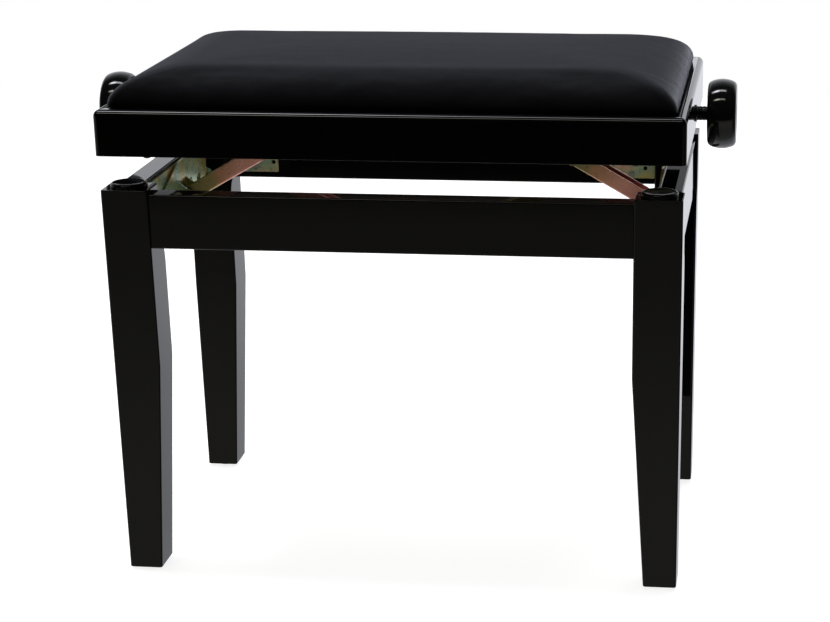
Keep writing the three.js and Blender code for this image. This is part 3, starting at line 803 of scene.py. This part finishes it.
BEND = {"radius": 1.9 * MM, "segments": 5, "least_length": 80 * MM}
PLATE_EASE, PIN_EASE, PANEL_EASE, BUMPER_EASE = 0.35 * MM, 0.4 * MM, 0.6 * MM, 0.3 * MM


def round_bends(shell):
    """Rounds the two long lower edges of a channel, where its flanges bend into its web."""
    bends = []
    for edge in shell.edges:
        normals = [face.normal for face in edge.link_faces]
        faces_out = any(abs(n.y) > 0.9 for n in normals)
        faces_down = any(n.z < -0.6 for n in normals)
        if edge.calc_length() > BEND["least_length"] and faces_out and faces_down and edge.is_convex:
            bends.append(edge)
    bmesh.ops.bevel(shell, geom=bends, offset=BEND["radius"], segments=BEND["segments"], profile=0.5,
                    affect="EDGES", clamp_overlap=False)


def refined(node, material, slot, width, bent=False):
    """A copy of a CAD node with fine rounded edges."""
    source = frame["nodes"][node]
    shell = bmesh.new()
    shell.from_mesh(source.data)
    bmesh.ops.remove_doubles(shell, verts=shell.verts, dist=WELD)
    bmesh.ops.dissolve_limit(shell, angle_limit=math.radians(1), verts=shell.verts, edges=shell.edges)
    if bent:
        shell.normal_update()
        round_bends(shell)
    mesh = bpy.data.meshes.new(f"{node}_eased")
    shell.to_mesh(mesh)
    shell.free()
    obj = finish_object(f"{node}_eased", mesh, material, smooth_angle=30)
    add_bevel(obj, width)
    attach(obj, body_of_node(node), slot, node)


for name, side in SIDES.items():
    for part in ("base_bracket", "front_tie_plate", "rear_tie_plate", "seat_bracket", "bearing_plate"):
        refined(f"{name}_{part}", zinc_green, "yellow_zinc", PLATE_EASE)
    refined(f"{name}_arm", zinc_copper[name], "yellow_zinc", PLATE_EASE, bent=True)
    for part in ("front_link", "rear_link"):
        refined(f"{name}_{part}", zinc_copper[name], "yellow_zinc", PLATE_EASE)
    for part in ("nut", "base_pin", "front_seat_pin", "rear_seat_pin"):
        refined(f"{name}_{part}", steel, "bright_steel", PIN_EASE)
refined("seat_panel", plywood, "plywood", PANEL_EASE)
for corner in CORNERS:
    refined(f"{corner}_frame_bumper", grey_rubber, "grey_rubber", BUMPER_EASE)


# ---------------------------------------------------------------- screws
# Head radius and rise of each kind of screw; one without a rise is sunk flush in its hole.
TIE_SCREW, SEAT_SCREW, BEARING_SCREW = (3.0 * MM, 0), (4.0 * MM, 2.2 * MM), (3.2 * MM, 1.6 * MM)
TIE_HOLES = ((204 * MM, 343.5 * MM), (195 * MM, 369 * MM))      # X and Z
# Share of the bracket's length along X, and front or rear.
SEAT_SCREW_SPOTS = ((0.14, -1), (0.86, -1), (0.14, 1), (0.86, 1))
SEAT_SCREW_Y = 34 * MM
SEAT_PLATE = 2.5 * MM
BEARING_SCREW_Y = 14 * MM
BEARING_SCREW_IN = 5 * MM
SUNK = {"depth": 1.6 * MM, "neck": 0.7, "shoulder": -0.15 * MM, "rim": 0.92, "face": 0.1 * MM}
ROUND_HEAD = ((1, 0.35), (0.93, 0.68), (0.72, 0.92), (0.5, 1))  # shares of radius and rise
DRIVE = ((0.34, 0), (0.17, 0.3), (0, 0.34))                    # radius and depth, as shares of radius
SCREW_AROUND = 24


def make_screw(name, body, place, axis, head_radius, rise):
    """A screw head with a pointed drive recess; axis points away from the plate."""
    axis = Vector(axis)
    side = axis.orthogonal().normalized()
    up = axis.cross(side)
    if rise:
        profile = [(0, -BEDDED), (head_radius, -BEDDED)]
        profile += [(head_radius * across, rise * height) for across, height in ROUND_HEAD]
        face = rise
    else:
        face = SUNK["face"]
        profile = [(0, -SUNK["depth"]), (head_radius * SUNK["neck"], -SUNK["depth"]),
                   (head_radius, SUNK["shoulder"]), (head_radius * SUNK["rim"], face)]
    profile += [(head_radius * across, face - head_radius * depth) for across, depth in DRIVE]
    verts, faces = lathe(profile, SCREW_AROUND, lambda a, b, h: Vector(place) + side * a + up * b + axis * h)
    screw = add_object(name, verts, faces, steel, smooth_angle=40)
    attach(screw, body, "bright_steel")


def make_screws():
    """Sunk screws in the tie plates, and round-headed ones in the seat brackets and bearing plates."""
    for name, side in SIDES.items():
        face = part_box(f"{name}_rear_tie_plate")[0][1]
        for row, sy in (("rear", 1), ("front", -1)):
            for k, (x, z) in enumerate(TIE_HOLES, 1):
                make_screw(f"{name}_{row}_tie_screw_{k}", "leg_frame", (side * x, sy * face, z),
                           (0, -sy, 0), *TIE_SCREW)
        low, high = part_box(f"{name}_seat_bracket")
        inner, outer = sorted((abs(low[0]), abs(high[0])))
        for k, (share, sy) in enumerate(SEAT_SCREW_SPOTS, 1):
            x = inner + (outer - inner) * share
            make_screw(f"{name}_seat_screw_{k}", "seat", (side * x, sy * SEAT_SCREW_Y, high[2] - SEAT_PLATE),
                       (0, 0, -1), *SEAT_SCREW)
        low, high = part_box(f"{name}_bearing_plate")
        x = side * min(abs(low[0]), abs(high[0]))
        heights = (low[2] + BEARING_SCREW_IN, high[2] - BEARING_SCREW_IN)
        for k, (z, sy) in enumerate([(z, sy) for z in heights for sy in (-1, 1)], 1):
            make_screw(f"{name}_bearing_screw_{k}", "seat", (x, sy * BEARING_SCREW_Y, z),
                       (-side, 0, 0), *BEARING_SCREW)


make_screws()


# ---------------------------------------------------------------- floor and light
FLOOR = {"half_width": 1.7, "front": -0.75, "rear": 2.4, "glow": 0.86}


def make_floor():
    """Plain pale floor, softly lit."""
    half_width, front, rear = FLOOR["half_width"], FLOOR["front"], FLOOR["rear"]
    verts = [(-half_width, front, 0), (half_width, front, 0), (half_width, rear, 0), (-half_width, rear, 0)]
    material, nodes, links, shader, coords = new_material("pale_floor")
    tone = noise(nodes, links, coords, 3, 2)
    links.new(ramp(nodes, links, tone, [(0.3, (0.40, 0.40, 0.40)), (0.7, (0.42, 0.42, 0.42))]),
              shader.inputs["Base Color"])
    shader.inputs["Roughness"].default_value = 0.9
    shader.inputs["Specular IOR Level"].default_value = 0.0
    shader.inputs["Emission Color"].default_value = (1, 1, 1, 1)
    shader.inputs["Emission Strength"].default_value = FLOOR["glow"]
    floor = add_object("floor", verts, [(0, 1, 2, 3)], material, weighted=False)
    floor.visible_glossy = False


# Brightness of the studio round the long axis of the bench: degrees up from the rear horizon, over the
# top, to the front horizon at 180; negative values are below the horizon.
STUDIO = [(-180, 0.0), (-167.4, 0.0), (-166.4, 0.19), (-163, 0.25), (-158, 0.42), (-130, 0.32), (-95, 0.40),
          (-80, 0.85), (-35, 0.80), (-24, 0.58), (-20, 0.66), (-16, 0.90), (0, 0.98), (30, 0.88),
          (50, 0.32), (63, 0.10), (65, 0.04), (125, 0.03), (150, 0.02), (180, 0.0)]
STRIPS = [(-180, 0), (83, 0), (84, 1), (90.5, 1), (91.5, 0), (118, 0), (119, 0.6), (123, 0.6), (124, 0),
          (180, 0)]
STRIP_POWER = 9.0
STRIP_BOOST = 1.4         # what the strips gain towards the left, as a share of their power
RIGHT_DIM = 0.85          # share of the room's light that is missing at the right-hand end
FRONT_TINT = (1.0, 0.97, 0.84)
REAR_TINT = (0.965, 0.98, 1.04)
REAR_HALF = 100           # angles nearer the rear horizon than this have the rear tint
# Where along the bench, as the X of a direction, each change of light begins and ends.
RIGHT_END = (0.55, 0.85)
STRIP_LEFT = (-0.55, -0.35)
STRIP_RIGHT = (0.24, 0.12)
STRONG_FROM = (-0.1, -0.25)


def make_world():
    """White studio behind, dark room in front, two strip lights above. The camera sees plain white."""
    world = bpy.data.worlds.new("studio")
    bpy.context.scene.world = world
    world.use_nodes = True
    nodes, links = world.node_tree.nodes, world.node_tree.links
    nodes.clear()

    def math_node(operation, *values):
        node = nodes.new("ShaderNodeMath")
        node.operation = operation
        for socket, value in zip(node.inputs, values):
            if isinstance(value, (int, float)):
                socket.default_value = value
            else:
                links.new(value, socket)
        return node.outputs["Value"]

    def soft_step(value, ends):
        return map_range(nodes, links, value, *ends, smooth=True)

    def round_ramp(turn, stops):
        def colour(angle, level):
            tint = REAR_TINT if abs(angle) < REAR_HALF else FRONT_TINT
            return tuple(level * part for part in tint)
        places = [((angle + 180) / 360, colour(angle, level)) for angle, level in stops]
        return ramp(nodes, links, turn, places)

    def scaled(colour, factor):
        node = nodes.new("ShaderNodeVectorMath")
        node.operation = "SCALE"
        links.new(colour, node.inputs[0])
        links.new(factor, node.inputs["Scale"])
        return node.outputs["Vector"]

    coords = nodes.new("ShaderNodeTexCoord")
    split = nodes.new("ShaderNodeSeparateXYZ")
    links.new(coords.outputs["Generated"], split.inputs["Vector"])
    across, back, up = (split.outputs[axis] for axis in "XYZ")
    turn = math_node("MULTIPLY_ADD", math_node("ARCTAN2", up, back), 0.5 / math.pi, 0.5)
    open_side = math_node("MULTIPLY_ADD", soft_step(across, RIGHT_END), -RIGHT_DIM, 1.0)
    room = scaled(round_ramp(turn, STUDIO), open_side)
    length = math_node("MULTIPLY", soft_step(across, STRIP_LEFT), soft_step(across, STRIP_RIGHT))
    strong = math_node("MULTIPLY_ADD", soft_step(across, STRONG_FROM), STRIP_BOOST * STRIP_POWER, STRIP_POWER)
    strips = scaled(round_ramp(turn, STRIPS), math_node("MULTIPLY", length, strong))
    light = nodes.new("ShaderNodeVectorMath")
    links.new(room, light.inputs[0])
    links.new(strips, light.inputs[1])
    path = nodes.new("ShaderNodeLightPath")
    seen = nodes.new("ShaderNodeMix")
    seen.data_type = "RGBA"
    seen.inputs[7].default_value = (1, 1, 1, 1)
    links.new(path.outputs["Is Camera Ray"], seen.inputs[0])
    links.new(light.outputs["Vector"], seen.inputs[6])
    background = nodes.new("ShaderNodeBackground")
    links.new(seen.outputs[2], background.inputs["Color"])
    output = nodes.new("ShaderNodeOutputWorld")
    links.new(background.outputs["Background"], output.inputs["Surface"])


OVERHEAD = {"place": (0, 0.9, 2.6), "target": (0, 0.1, 0), "size": (2.6, 2.0), "power": 60}


def make_light():
    """One large soft light overhead, unseen in reflections."""
    data = bpy.data.lights.new("overhead", "AREA")
    data.shape = "RECTANGLE"
    data.size, data.size_y = OVERHEAD["size"]
    data.energy = OVERHEAD["power"]
    light = bpy.data.objects.new("overhead", data)
    light.location = OVERHEAD["place"]
    aim = Vector(OVERHEAD["target"]) - Vector(OVERHEAD["place"])
    light.rotation_euler = aim.to_track_quat("-Z", "Y").to_euler()
    light.visible_glossy = False
    light.visible_camera = False
    bpy.context.scene.collection.objects.link(light)


make_camera()
make_floor()
make_world()
make_light()
bpy.context.scene.view_settings.view_transform = "Standard"
